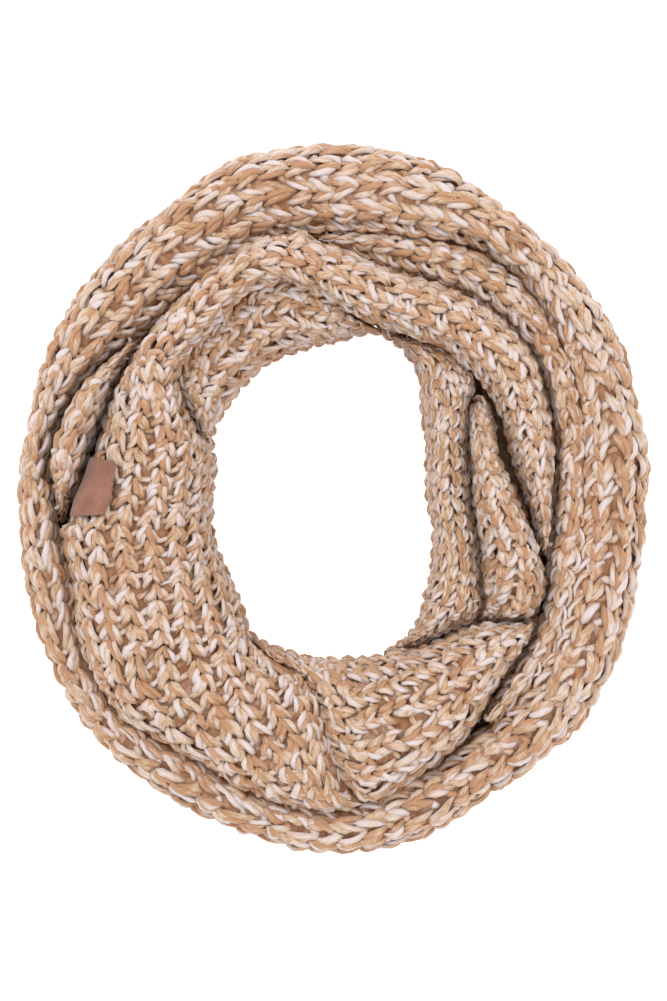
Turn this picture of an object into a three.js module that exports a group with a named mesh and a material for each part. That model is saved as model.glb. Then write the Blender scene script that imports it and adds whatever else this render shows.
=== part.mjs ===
// A chunky knitted infinity scarf: one closed loop of ribbed cloth, wound twice into a ring and laid on its side.
// Millimetres, +Z up. The origin is on the resting plane in the middle of the ring, +Y is the ring's long way.
// Each stretch of cloth that shows is a wall of its own, arched over the hidden layers beneath.

import * as THREE from 'three';

const clothThickness = 8;
const thinnestShare = 0.28;
const ribDepth = 3;
const ribShare = 0.4;
const seamGap = 0.4;
const restGap = 0.95;
const bulgeAllowance = 2.5;
const edgeTuck = 3;
const mostTuckShare = 0.2;
const tuckFade = 4;
const leastUnderArch = 2;
const moreUnderSteps = 2;
const angleStep = 5;
const fineSteps = 10;
const arcPower = 0.75;

const labelThickness = 1.2;
const labelLift = 0.5;
const labelCrossSteps = 8;
const labelFrom = 170;
const labelTo = 184;
const labelAngleStep = 2;

// Smooth curves through the rows of a table. Slopes are limited, so that a curve never overshoots a row.
function curveThrough(angles, values) {
  const last = angles.length - 1;
  const steep = angles.slice(1).map((angle, i) => (values[i + 1] - values[i]) / (angle - angles[i]));
  const slopes = values.map((_, i) => {
    const before = steep[Math.max(i - 1, 0)];
    const after = steep[Math.min(i, last - 1)];
    return before * after <= 0 ? 0 : (2 * before * after) / (before + after);
  });
  return (angle) => {
    const at = Math.min(Math.max(angle, angles[0]), angles[last]);
    const i = Math.min(Math.max(angles.findIndex((a) => a > at) - 1, 0), last - 1);
    const index = at >= angles[last] ? last - 1 : i;
    const span = angles[index + 1] - angles[index];
    const t = (at - angles[index]) / span;
    const rise = values[index + 1] - values[index];
    const lead = slopes[index] * span;
    const trail = slopes[index + 1] * span;
    return values[index] + t * lead + t * t * (3 * rise - 2 * lead - trail) + t ** 3 * (lead + trail - 2 * rise);
  };
}

// A table has an angle in its first column, in degrees from +X towards +Y, and a curve for each other column.
function table(columns, rows) {
  const names = columns.split(' ').slice(1);
  const angles = rows.map((row) => row[0]);
  const curves = names.map((_, i) => curveThrough(angles, rows.map((row) => row[i + 1])));
  return (angle) => Object.fromEntries(names.map((name, i) => [name, curves[i](angle)]));
}

// A table of the whole ring, which runs from 0 to 360 and repeats for any angle.
function ringTable(columns, rows) {
  const turn = (by) => rows.map(([angle, ...rest]) => [angle + by, ...rest]);
  const whole = table(columns, [...turn(-360), ...rows, ...turn(360)]);
  return (angle) => whole(((angle % 360) + 360) % 360);
}

const ringEdges = ringTable('angle hole outside', [
  [0, 46.5, 157.0],
  [8, 46.3, 160.2],
  [15, 47.5, 160.0],
  [30, 53.0, 165.0],
  [45, 62.3, 166.7],
  [60, 79.4, 170.0],
  [75, 86.0, 177.7],
  [90, 79.0, 178.8],
  [105, 76.5, 178.5],
  [120, 75.0, 169.5],
  [135, 71.0, 166.6],
  [150, 69.3, 163.3],
  [165, 61.5, 159.0],
  [180, 60.5, 158.6],
  [195, 62.8, 161.0],
  [210, 63.8, 165.0],
  [225, 68.0, 169.7],
  [240, 79.0, 171.5],
  [255, 79.6, 173.9],
  [270, 79.8, 178.2],
  [285, 81.0, 175.7],
  [300, 76.8, 168.0],
  [315, 65.0, 167.8],
  [330, 56.5, 163.9],
  [345, 50.7, 158.7],
]);

// The line where the outer loop meets the cloth inside it.
const outerCrease = ringTable('angle radius', [
  [0, 124.0],
  [14, 127.5],
  [27, 133.2],
  [40, 139.0],
  [50, 143.0],
  [60, 142.4],
  [75, 135.0],
  [90, 133.3],
  [105, 133.7],
  [120, 127.7],
  [135, 124.8],
  [148, 132.5],
  [158, 139.6],
  [172, 143.4],
  [180, 139.0],
  [195, 136.5],
  [210, 145.0],
  [225, 150.5],
  [240, 146.5],
  [255, 152.0],
  [270, 155.0],
  [285, 146.0],
  [300, 136.8],
  [310, 135.5],
  [330, 129.5],
  [350, 124.7],
]);

// The line inside the middle fold, which goes on along the outside of the lower band.
const middleCrease = table('angle radius', [
  [-85, 152.3],
  [-72, 146.0],
  [-60, 135.2],
  [-52, 127.0],
  [-45, 122.5],
  [-30, 118.6],
  [-15, 110.6],
  [0, 109.5],
  [15, 114.0],
  [29, 119.4],
  [37, 123.0],
  [54, 121.5],
  [64, 118.7],
  [74, 117.0],
  [80, 119.0],
  [87, 122.9],
  [95, 129.5],
]);

// The line inside the left fold, with room for the label beside it.
const leftCrease = table('angle radius', [
  [135, 124.0],
  [144, 123.0],
  [152, 122.2],
  [160, 121.6],
  [167, 123.1],
  [175, 126.2],
  [180, 130.5],
  [185, 134.5],
]);

// The front loop's own edge on the side of the hole, and at its lower end over the lower band.
const frontEdge = table('angle radius', [
  [-15, 107.0],
  [-10, 102.5],
  [0, 96.0],
  [15, 90.5],
  [25, 92.5],
  [40, 93.4],
  [55, 92.0],
  [60, 90.2],
  [77, 88.6],
  [85, 92.8],
  [91, 98.5],
  [98, 105.0],
  [103, 110.0],
  [110, 110.2],
  [116, 108.2],
  [122, 104.0],
  [131, 102.5],
  [141, 97.5],
  [146, 89.0],
  [152, 77.0],
  [160, 64.6],
  [165, 61.5],
  [180, 60.5],
  [195, 62.8],
  [210, 63.8],
  [225, 68.0],
  [235, 76.0],
  [240, 82.0],
  [250, 85.2],
  [258, 88.4],
  [262, 93.4],
  [266, 105.3],
  [270, 130.0],
  [275, 147.5],
]);

// The line outside the right inner cloth, and the turned fold's outside.
const rightCrease = table('angle radius', [
  [-65, 82.2],
  [-48, 87.5],
  [-40, 92.6],
  [-35, 90.8],
  [-29, 83.6],
  [-16, 75.0],
  [0, 68.2],
  [8, 68.9],
  [20, 71.2],
  [35, 81.2],
  [40, 91.5],
  [45, 92.9],
  [55, 91.6],
  [60, 89.8],
  [70, 88.2],
]);

const turnedEdge = table('angle radius', [
  [-40, 94.6],
  [-35, 104.8],
  [-30, 115.6],
  [-25, 115.4],
  [-15, 106.5],
  [0, 92.5],
  [15, 86.0],
  [30, 90.0],
  [35, 91.6],
]);

const lowerEdge = table('angle radius', [
  [-120, 79.2],
  [-105, 79.6],
  [-90, 79.8],
  [-75, 81.0],
  [-65, 82.6],
  [-48, 88.0],
  [-40, 95.0],
  [-35, 105.2],
  [-30, 116.0],
]);

const holeRadius = (angle) => ringEdges(angle).hole;
const outsideRadius = (angle) => ringEdges(angle).outside;
const creaseRadius = (line) => (angle) => line(angle).radius;

// How far the front loop's outer edge is drawn in, to make room for the label between it and the left fold.
const labelRoom = table('angle radius', [
  [160, 0],
  [167, 2.6],
  [183, 2.6],
  [188, 0],
]);

// The front loop is bounded outside by the middle fold, the outer loop, the left fold and the outer loop again.
function frontOutside(angle) {
  if (angle <= 95) {
    return middleCrease(angle).radius;
  }
  if (angle >= 135 && angle <= 185) {
    return Math.min(leftCrease(angle).radius, outerCrease(angle).radius) - labelRoom(angle).radius;
  }
  return outerCrease(angle).radius;
}

// The lower band is bounded outside by the outer loops, and at its left end by the front loop that lies over it.
function lowerOutside(angle) {
  const front = angle <= -85 ? frontEdge(angle + 360).radius : Infinity;
  return Math.min(middleCrease(angle).radius, outerCrease(angle).radius, front);
}

// The top of the hidden layers, by the share of the way from the hole to the outside.
const hiddenTop = [
  { share: 0.05, z: 14 },
  { share: 0.1, z: 18.5 },
  { share: 0.17, z: 21.5 },
  { share: 0.27, z: 23.5 },
  { share: 0.5, z: 24.5 },
  { share: 0.73, z: 23.5 },
  { share: 0.83, z: 21.5 },
  { share: 0.9, z: 18.5 },
  { share: 0.95, z: 14 },
];

function hiddenHeight(angle, radius) {
  const { hole, outside } = ringEdges(angle);
  const share = (radius - hole) / (outside - hole);
  const next = hiddenTop.findIndex((point) => point.share > share);
  if (next === 0) {
    return hiddenTop[0].z;
  }
  if (next < 0) {
    return hiddenTop[hiddenTop.length - 1].z;
  }
  const low = hiddenTop[next - 1];
  const high = hiddenTop[next];
  return low.z + ((high.z - low.z) * (share - low.share)) / (high.share - low.share);
}

// Each stretch: its two edges in plan, and for its cross-section the share of its width where the crest is, the
// crest's height and the heights where its two flanks turn straight down.
const stretches = {
  outer_loop: {
    closed: true,
    from: 0,
    to: 360 - angleStep,
    inner: creaseRadius(outerCrease),
    outer: outsideRadius,
    ribs: 6,
    form: ringTable('angle crest top innerDip outerDip', [
      [0, 0.34, 58, 50, 26],
      [30, 0.36, 60, 52, 26],
      [45, 0.42, 62, 40, 26],
      [60, 0.45, 62, 38, 26],
      [75, 0.45, 61, 44, 25],
      [90, 0.45, 60, 42, 25],
      [120, 0.48, 60, 46, 25],
      [135, 0.48, 60, 40, 25],
      [150, 0.46, 58, 36, 25],
      [172, 0.45, 56, 33, 25],
      [187, 0.43, 55, 34, 24],
      [205, 0.42, 54, 42, 24],
      [255, 0.4, 51, 40, 24],
      [285, 0.42, 54, 40, 24],
      [300, 0.36, 59, 36, 25],
      [315, 0.3, 62, 48, 26],
      [330, 0.3, 61, 51, 26],
    ]),
  },
  middle_fold: {
    from: -55,
    to: 95,
    inner: creaseRadius(middleCrease),
    outer: creaseRadius(outerCrease),
    ribs: 3,
    form: table('angle crest top innerDip outerDip', [
      [-55, 0.5, 56, 38, 48],
      [-45, 0.5, 60, 38, 50],
      [-30, 0.5, 60, 38, 52],
      [0, 0.5, 58, 36, 50],
      [30, 0.5, 62, 36, 52],
      [45, 0.5, 62, 40, 42],
      [60, 0.58, 60, 42, 40],
      [75, 0.66, 56, 40, 42],
      [88, 0.6, 50, 38, 40],
      [95, 0.6, 46, 38, 40],
    ]),
  },
  left_fold: {
    from: 140,
    to: 185,
    inner: creaseRadius(leftCrease),
    outer: creaseRadius(outerCrease),
    ribs: 3,
    form: table('angle crest top innerDip outerDip', [
      [140, 0.5, 50, 34, 34],
      [150, 0.5, 65, 34, 34],
      [160, 0.5, 70, 34, 33],
      [172, 0.5, 68, 34, 32],
      [180, 0.5, 55, 34, 32],
      [185, 0.5, 44, 33, 31],
    ]),
  },
  front_loop: {
    from: -15,
    to: 275,
    inner: creaseRadius(frontEdge),
    outer: frontOutside,
    ribs: 8,
    form: table('angle crest top innerDip outerDip', [
      [-15, 0.5, 52, 38, 38],
      [0, 0.5, 63, 35, 36],
      [15, 0.5, 68, 35, 37],
      [30, 0.5, 71, 40, 40],
      [45, 0.5, 74, 50, 46],
      [60, 0.5, 76, 56, 46],
      [75, 0.5, 78, 56, 44],
      [90, 0.5, 80, 60, 46],
      [105, 0.5, 80, 63, 52],
      [120, 0.5, 80, 63, 50],
      [135, 0.5, 80, 58, 42],
      [150, 0.5, 80, 38, 40],
      [165, 0.46, 79, 28, 42],
      [187, 0.46, 78, 28, 38],
      [205, 0.46, 77, 28, 44],
      [225, 0.5, 75, 30, 46],
      [240, 0.5, 73, 48, 44],
      [255, 0.5, 71, 54, 42],
      [266, 0.5, 68, 56, 42],
      [270, 0.5, 62, 50, 42],
      [275, 0.5, 50, 44, 42],
    ]),
  },
  inner_wall: {
    from: 75,
    to: 155,
    inner: holeRadius,
    outer: creaseRadius(frontEdge),
    ribs: 4,
    form: table('angle crest top innerDip outerDip', [
      [75, 0.5, 42, 26, 34],
      [85, 0.65, 54, 26, 48],
      [95, 0.78, 60, 26, 54],
      [140, 0.78, 60, 26, 54],
      [148, 0.6, 54, 26, 44],
      [155, 0.5, 42, 26, 32],
    ]),
  },
  right_inner: {
    from: -65,
    to: 70,
    inner: holeRadius,
    outer: creaseRadius(rightCrease),
    ribs: 4,
    form: table('angle crest top innerDip outerDip', [
      [-65, 0.5, 44, 26, 32],
      [-50, 0.42, 54, 26, 36],
      [-30, 0.36, 58, 26, 36],
      [0, 0.34, 61, 26, 36],
      [30, 0.36, 62, 26, 38],
      [45, 0.42, 60, 26, 44],
      [60, 0.5, 54, 26, 42],
      [70, 0.5, 44, 26, 34],
    ]),
  },
  turned_fold: {
    from: -40,
    to: 35,
    inner: creaseRadius(rightCrease),
    outer: creaseRadius(turnedEdge),
    ribs: 3,
    form: table('angle crest top innerDip outerDip', [
      [-40, 0.5, 44, 34, 34],
      [-35, 0.5, 56, 35, 36],
      [-28, 0.5, 67, 36, 38],
      [-15, 0.55, 74, 36, 38],
      [0, 0.52, 74, 36, 36],
      [15, 0.5, 72, 36, 36],
      [25, 0.5, 66, 37, 37],
      [35, 0.5, 52, 38, 38],
    ]),
  },
  lower_band: {
    from: -120,
    to: -30,
    inner: creaseRadius(lowerEdge),
    outer: lowerOutside,
    ribs: 6,
    form: table('angle crest top innerDip outerDip', [
      [-120, 0.5, 42, 26, 34],
      [-110, 0.5, 54, 26, 48],
      [-98, 0.5, 60, 27, 50],
      [-90, 0.45, 64, 28, 50],
      [-80, 0.42, 68, 28, 44],
      [-60, 0.45, 72, 28, 36],
      [-45, 0.5, 71, 30, 34],
      [-38, 0.5, 68, 32, 34],
      [-30, 0.5, 50, 36, 36],
    ]),
  },
};

// The profile of an arch, from its foot on the inner side over its crest to its foot on the outer side.
function archProfile(angle, sizes) {
  const { innerAt, outerAt, crest, top, innerDip, outerDip, innerTuck, outerTuck } = sizes;
  const crestAt = innerAt + crest * (outerAt - innerAt);
  const footAt = (radius, rise) => [radius, hiddenHeight(angle, radius) + restGap + rise];
  const points = [footAt(innerAt + innerTuck, sizes.innerRise)];
  for (let i = 0; i <= 2 * fineSteps; i += 1) {
    const turn = (Math.PI / 2) * (i / fineSteps);
    const rise = Math.abs(Math.sin(turn)) ** arcPower;
    const reach = Math.abs(Math.cos(turn)) ** arcPower;
    const innerSide = i <= fineSteps;
    const edge = innerSide ? innerAt : outerAt;
    const dip = innerSide ? innerDip : outerDip;
    points.push([crestAt + (edge - crestAt) * reach, dip + (top - dip) * rise]);
  }
  points.push(footAt(outerAt - outerTuck, sizes.outerRise));
  return points;
}

// The same line with its points evenly spaced along it.
function evenPoints(points, count) {
  const along = [0];
  for (let i = 1; i < points.length; i += 1) {
    const step = Math.hypot(points[i][0] - points[i - 1][0], points[i][1] - points[i - 1][1]);
    along.push(along[i - 1] + step);
  }
  const length = along[along.length - 1];
  const even = [];
  let i = 1;
  for (let k = 0; k <= count; k += 1) {
    const at = (length * k) / count;
    while (i < points.length - 1 && along[i] < at) {
      i += 1;
    }
    const t = (at - along[i - 1]) / (along[i] - along[i - 1]);
    even.push(points[i - 1].map((value, axis) => value + t * (points[i][axis] - value)));
  }
  return even;
}

// Moves each point of a line sideways, to its left when lift is above zero.
function moveSideways(points, lift) {
  return points.map((point, i) => {
    const before = points[Math.max(i - 1, 0)];
    const after = points[Math.min(i + 1, points.length - 1)];
    const along = [after[0] - before[0], after[1] - before[1]];
    const length = Math.hypot(...along);
    const by = typeof lift === 'function' ? lift(i) : lift;
    return [point[0] - (along[1] / length) * by, point[1] + (along[0] / length) * by];
  });
}

// How far the hidden layers bulge above a straight line between this foot of a wall and the next.
function footRise(edge, angle) {
  const bulges = [-angleStep, angleStep].flatMap((turn) =>
    [-clothThickness, 0, clothThickness].map((inset) => {
      const here = edge(angle);
      const there = edge(angle + turn);
      const ends = hiddenHeight(angle, here + inset) + hiddenHeight(angle + turn, there + inset);
      return hiddenHeight(angle + turn / 2, (here + there) / 2 + inset) - ends / 2;
    }));
  return bulgeAllowance * Math.max(0, ...bulges);
}

// The sizes of a stretch's cross-section at an angle, with the gaps to its neighbours taken off.
function sectionSizes(stretch, angle) {
  const form = stretch.form(angle);
  const innerAt = stretch.inner(angle) + seamGap / 2;
  const outerAt = stretch.outer(angle) - seamGap / 2;
  const facesHole = Math.max(0, 1 - (innerAt - holeRadius(angle)) / tuckFade);
  const facesOutside = Math.max(0, 1 - (outsideRadius(angle) - outerAt) / tuckFade);
  const mostTuck = mostTuckShare * (outerAt - innerAt);
  return {
    ...form,
    innerAt,
    outerAt,
    innerTuck: Math.min(edgeTuck * facesHole, mostTuck),
    outerTuck: Math.min(edgeTuck * facesOutside, mostTuck),
    innerRise: footRise(stretch.inner, angle),
    outerRise: footRise(stretch.outer, angle),
  };
}

// A stretch's closed cross-section: ribs stand out of the upper line, over a plain line underneath.
function stretchSection(stretch, angle) {
  const sizes = sectionSizes(stretch, angle);
  const thickness = Math.min(clothThickness, thinnestShare * (sizes.outerAt - sizes.innerAt));
  const ribSteps = 2 * stretch.ribs;
  const upper = evenPoints(archProfile(angle, sizes), ribSteps);
  const depth = Math.min(ribDepth, ribShare * thickness);
  const ribbed = moveSideways(upper, (i) => (i % 2 === 1 ? -depth : 0));
  const under = archProfile(angle, {
    ...sizes,
    innerAt: sizes.innerAt + thickness,
    outerAt: sizes.outerAt - thickness,
    top: sizes.top - thickness,
    innerDip: Math.min(sizes.innerDip, sizes.top - thickness - leastUnderArch),
    outerDip: Math.min(sizes.outerDip, sizes.top - thickness - leastUnderArch),
  });
  return [...ribbed, ...evenPoints(under, stretch.ribs + moreUnderSteps).reverse()];
}

// The hidden layers' closed cross-section: two layers show at each edge, over a flat underside.
function hiddenSection(angle) {
  const { hole, outside } = ringEdges(angle);
  const rim = [
    { inset: 6.0, z: 0 },
    { inset: 3.2, z: 3.6 },
    { inset: 5.4, z: 7.2 },
    { inset: 3.4, z: 10.8 },
  ];
  const holeRim = rim.map(({ inset, z }) => [hole + inset, z]);
  const outsideRim = rim.map(({ inset, z }) => [outside - inset, z]).reverse();
  const top = hiddenTop.map(({ share, z }) => [hole + share * (outside - hole), z]);
  return [...holeRim, ...top, ...outsideRim];
}

function placeInRing(section, angle) {
  const turn = THREE.MathUtils.degToRad(angle);
  return section.map(([radius, z]) => [radius * Math.cos(turn), radius * Math.sin(turn), z]);
}

// Triangles that fill a section, turned the same way as its outline.
function capFaces(section) {
  const outline = section.map(([radius, z]) => new THREE.Vector2(radius, z));
  const wanted = Math.sign(THREE.ShapeUtils.area(outline));
  return THREE.ShapeUtils.triangulateShape(outline, []).map(([a, b, c]) => {
    const turned = Math.sign(THREE.ShapeUtils.area([outline[a], outline[b], outline[c]])) !== wanted;
    return turned ? [c, b, a] : [a, b, c];
  });
}

// A closed body through cross-sections that all have as many points, with a cap at each end of an open one.
function sweepBody(angles, sectionAt, closed) {
  const sections = angles.map(sectionAt);
  const count = sections[0].length;
  const points = sections.flatMap((section, i) => placeInRing(section, angles[i]));
  const faces = [];
  const spans = closed ? angles.length : angles.length - 1;
  for (let i = 0; i < spans; i += 1) {
    const here = i * count;
    const next = ((i + 1) % angles.length) * count;
    for (let j = 0; j < count; j += 1) {
      const k = (j + 1) % count;
      faces.push([here + j, next + j, next + k], [here + j, next + k, here + k]);
    }
  }
  if (!closed) {
    const last = (angles.length - 1) * count;
    capFaces(sections[0]).forEach((face) => faces.push(face));
    capFaces(sections[sections.length - 1]).forEach(([a, b, c]) => faces.push([last + c, last + b, last + a]));
  }
  return facesOutward(points, faces);
}

function facesOutward(points, faces) {
  const volume = faces.reduce((sum, [a, b, c]) => {
    const [p, q, r] = [points[a], points[b], points[c]].map((v) => new THREE.Vector3(...v));
    return sum + p.dot(q.cross(r));
  }, 0);
  const turned = volume < 0 ? faces.map(([a, b, c]) => [c, b, a]) : faces;
  const geometry = new THREE.BufferGeometry();
  geometry.setAttribute('position', new THREE.Float32BufferAttribute(points.flat(), 3));
  geometry.setIndex(turned.flat());
  geometry.computeVertexNormals();
  return geometry;
}

function anglesFrom(from, to, step) {
  const count = Math.round((to - from) / step);
  return Array.from({ length: count + 1 }, (_, i) => from + (i * (to - from)) / count);
}

// The label lies on the front loop and turns down over its outer edge.
const labelSpan = table('angle inner foot', [
  [170, 108.4, 52],
  [172, 107.2, 52],
  [180, 108.4, 50],
  [184, 112.0, 50],
]);

function labelSection(angle) {
  const span = labelSpan(angle);
  const profile = archProfile(angle, sectionSizes(stretches.front_loop, angle));
  const crest = profile.findIndex(([radius]) => radius >= span.inner);
  const foot = profile.findIndex(([, z], i) => i > crest && z < span.foot);
  const line = evenPoints(profile.slice(crest, foot + 1), labelCrossSteps);
  const under = moveSideways(line, labelLift);
  const upper = moveSideways(line, labelLift + labelThickness);
  return [...upper, ...under.reverse()];
}

function material(colour, roughness) {
  return new THREE.MeshStandardMaterial({ color: colour, roughness, metalness: 0 });
}

const scarf = new THREE.Group();
scarf.name = 'infinity_scarf';

function addPiece(name, geometry, finish) {
  const mesh = new THREE.Mesh(geometry, finish);
  mesh.name = name;
  scarf.add(mesh);
}

for (const [name, stretch] of Object.entries(stretches)) {
  const angles = anglesFrom(stretch.from, stretch.to, angleStep);
  const geometry = sweepBody(angles, (angle) => stretchSection(stretch, angle), stretch.closed);
  addPiece(name, geometry, material('#d2b296', 0.9));
}

const ringAngles = anglesFrom(0, 360 - angleStep, angleStep);
addPiece('hidden_layers', sweepBody(ringAngles, hiddenSection, true), material('#c3a284', 0.9));
const labelAngles = anglesFrom(labelFrom, labelTo, labelAngleStep);
addPiece('label', sweepBody(labelAngles, labelSection, false), material('#b28068', 0.8));

export default scarf;
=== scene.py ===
# The looks of a chunky knitted infinity scarf, wound twice into a ring and laid on its side.
# Sizes are in millimetres and angles in degrees, until a mesh or a light is made in metres.
import math

import bpy
import numpy as np
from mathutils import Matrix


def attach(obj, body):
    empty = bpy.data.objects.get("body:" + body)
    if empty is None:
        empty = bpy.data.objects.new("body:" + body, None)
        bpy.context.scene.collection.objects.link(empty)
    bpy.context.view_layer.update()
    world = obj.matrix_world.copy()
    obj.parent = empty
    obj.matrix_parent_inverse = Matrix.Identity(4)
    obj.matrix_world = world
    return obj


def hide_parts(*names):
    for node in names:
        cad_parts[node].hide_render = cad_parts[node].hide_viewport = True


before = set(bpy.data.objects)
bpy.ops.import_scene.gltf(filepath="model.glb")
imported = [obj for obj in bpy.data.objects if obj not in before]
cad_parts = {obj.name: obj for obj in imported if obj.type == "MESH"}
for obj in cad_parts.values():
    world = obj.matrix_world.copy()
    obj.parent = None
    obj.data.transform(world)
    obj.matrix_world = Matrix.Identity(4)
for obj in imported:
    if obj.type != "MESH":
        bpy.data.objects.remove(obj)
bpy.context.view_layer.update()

MM = 0.001
SEED = 27

# The rows and columns of stitches. The cloth bends round the ring, so its rows fan out from the hole.
ROW_DEGREES = 4.35
NARROWEST_ROW = 7.2
WIDEST_ROW = 12.6
COLUMNS_EACH_WAY = 14
FULL_PITCH = 14.0
NARROWEST_CLOTH = 4.0
FULL_SIZE_CLOTH = 14.0

# A stitch is a V of two legs. A leg's length is counted in rows, and its width follows from the room it has.
LEG_ROWS = 1.38
LEG_LEAN = 1.2
STITCH_HALF_WIDTH = 5.3
STITCH_SHARE = 0.395
LEG_SPACING = 4.3
YARN_BASE = -4.1
LEG_END_DROP = 1.4
LEG_ARCH = 3.6
LEG_RISE = 0.5
VALLEY_DEPTH = 1.9

# A bar of yarn crosses the valley between two columns, and is in shade.
SHORTEST_BAR = 2.6
STITCH_OVER_BAR = 2.8
BAR_END_DROP = 2.4
BAR_ARCH = 2.6
BAR_SHADE = 0.2

# Hand-laid yarn strays from an even lay: along the rows, sideways and in height.
ROW_STRAY = 0.16
SIDE_STRAY = 1.1
LIFT_STRAY = 0.4

# A leg is two strands, twisted by about half a turn and thinner at their ends.
STRAND_RADIUS = 1.8
STRAND_FLATNESS = 0.78
STRANDS_APART = 1.35
PAIR_FLATNESS = 0.8
STRAND_RINGS = 7
STRAND_SIDES = 5
END_THICKNESS = 0.26
END_LENGTH = 0.5
THICKNESS_STRAY = 0.1
LUMPS = 0.13
TWIST = 0.55
TWIST_STRAY = 0.12

# Tones go from 0 for tan to 1 for cream. They wave along a strand, and painted shade makes them darker below
# and at its ends.
LIGHT_TONE = 0.86
DARK_TONE = 0.32
TONE_WAVES = 0.24
SHADED_SIDE = 0.4
SHADED_ENDS = 0.3

# The size of the fibre pattern round a strand, and for each millimetre along it
FIBRE_WIDTH = 0.45
FIBRE_LENGTH = 0.07

# The cloth between the stitches, and how both round off into a crease
GROUND_DEPTH = 4.7
GROUND_THICKNESS = 2.2
SHELL_SHARE = 0.24
SHELL_STEP = 2.5
SHELL_PLACES = 28
CREASE_REACH = 6.5
CREASE_BULGE = 1.4
CREASE_THINNING = 1.04
CREASE_RISE = 4.0
CREASE_ROUNDING = 8.0

# The construction's sizes, as the part's solids have them
CLOTH_GAP = 0.4
REST_GAP = 0.95
EDGE_TUCK = 3.0
MOST_TUCK = 0.2
TUCK_FADE = 4.0
ARC_POWER = 0.75
FINE_STEPS = 16

# The photograph's view: straight down, with half a millimetre to a pixel at the height of the ring's outline
PIXEL_MM = 0.5
PHOTO_PIXELS = (667, 1001)
RING_MIDDLE_PIXEL = (334.0, 499.5)
OUTLINE_HEIGHT = 35.0
CAMERA_DISTANCE = 1750.0
SENSOR_MM = 36.0


# Smooth curves and tables

def curve_through(angles, values):
    """A smooth curve through points. Its slopes are limited, so that it never overshoots a point."""
    angles = np.array(angles, float)
    values = np.array(values, float)
    steep = np.diff(values) / np.diff(angles)
    before = np.concatenate([steep[:1], steep])
    after = np.concatenate([steep, steep[-1:]])
    joined = before + after
    level = before * after <= 0
    slopes = np.where(level, 0, 2 * before * after / np.where(level, 1, joined))

    def curve(angle):
        at = np.clip(angle, angles[0], angles[-1])
        i = np.clip(np.searchsorted(angles, at, "right") - 1, 0, len(angles) - 2)
        span = angles[i + 1] - angles[i]
        t = (at - angles[i]) / span
        rise = values[i + 1] - values[i]
        lead = slopes[i] * span
        trail = slopes[i + 1] * span
        return values[i] + t * lead + t**2 * (3 * rise - 2 * lead - trail) + t**3 * (lead + trail - 2 * rise)

    return curve


def table(columns, rows):
    """A curve for each named column but the first, which is the angle from +X towards +Y."""
    names = columns.split()[1:]
    angles = [row[0] for row in rows]
    curves = {name: curve_through(angles, [row[i + 1] for row in rows]) for i, name in enumerate(names)}
    return lambda name, angle: curves[name](angle)


def ring_table(columns, rows):
    """A table of the whole ring, from 0 to 360, which repeats for any angle."""
    turned = [[row[0] + turn, *row[1:]] for turn in (-360, 0, 360) for row in rows]
    whole = table(columns, turned)
    return lambda name, angle: whole(name, np.mod(angle, 360))


def even_ribs(offset, pitch):
    """Columns of stitches that lie at the same places all along a stretch."""
    return table("angle offset pitch", [[-360, offset, pitch], [720, offset, pitch]])


# The ring's plan: where each stretch of cloth begins and ends, from the middle of the ring

ring_edges = ring_table("angle hole outside", [
    [0, 46.5, 157.0],
    [8, 46.3, 160.2],
    [15, 47.5, 160.0],
    [30, 53.0, 165.0],
    [45, 62.3, 166.7],
    [60, 79.4, 170.0],
    [75, 86.0, 177.7],
    [90, 79.0, 178.8],
    [105, 76.5, 178.5],
    [120, 75.0, 169.5],
    [135, 71.0, 166.6],
    [150, 69.3, 163.3],
    [165, 61.5, 159.0],
    [180, 60.5, 158.6],
    [195, 62.8, 161.0],
    [210, 63.8, 165.0],
    [225, 68.0, 169.7],
    [240, 79.0, 171.5],
    [255, 79.6, 173.9],
    [270, 79.8, 178.2],
    [285, 81.0, 175.7],
    [300, 76.8, 168.0],
    [315, 65.0, 167.8],
    [330, 56.5, 163.9],
    [345, 50.7, 158.7],
])

outer_crease = ring_table("angle radius", [
    [0, 124.0],
    [14, 127.5],
    [27, 133.2],
    [40, 139.0],
    [50, 143.0],
    [60, 142.4],
    [75, 135.0],
    [90, 133.3],
    [105, 133.7],
    [120, 127.7],
    [135, 124.8],
    [148, 132.5],
    [158, 139.6],
    [172, 143.4],
    [180, 139.0],
    [195, 136.5],
    [210, 145.0],
    [225, 150.5],
    [240, 146.5],
    [255, 152.0],
    [270, 155.0],
    [285, 146.0],
    [300, 136.8],
    [310, 135.5],
    [330, 129.5],
    [350, 124.7],
])

middle_crease = table("angle radius", [
    [-85, 152.3],
    [-72, 146.0],
    [-60, 135.2],
    [-52, 127.0],
    [-45, 122.5],
    [-30, 118.6],
    [-15, 110.6],
    [0, 109.5],
    [15, 114.0],
    [29, 119.4],
    [37, 123.0],
    [54, 121.5],
    [64, 118.7],
    [74, 117.0],
    [80, 119.0],
    [87, 122.9],
    [95, 129.5],
])

left_crease = table("angle radius", [
    [135, 124.0],
    [144, 123.0],
    [152, 122.2],
    [160, 121.6],
    [167, 123.1],
    [175, 126.2],
    [180, 130.5],
    [185, 134.5],
])

front_edge = table("angle radius", [
    [-15, 107.0],
    [-10, 102.5],
    [0, 96.0],
    [15, 90.5],
    [25, 92.5],
    [40, 93.4],
    [55, 92.0],
    [60, 90.2],
    [77, 88.6],
    [85, 92.8],
    [91, 98.5],
    [98, 105.0],
    [103, 110.0],
    [110, 110.2],
    [116, 108.2],
    [122, 104.0],
    [131, 102.5],
    [141, 97.5],
    [146, 89.0],
    [152, 77.0],
    [160, 64.6],
    [165, 61.5],
    [180, 60.5],
    [195, 62.8],
    [210, 63.8],
    [225, 68.0],
    [235, 76.0],
    [240, 82.0],
    [250, 85.2],
    [258, 88.4],
    [262, 93.4],
    [266, 105.3],
    [270, 130.0],
    [275, 147.5],
])

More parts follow.
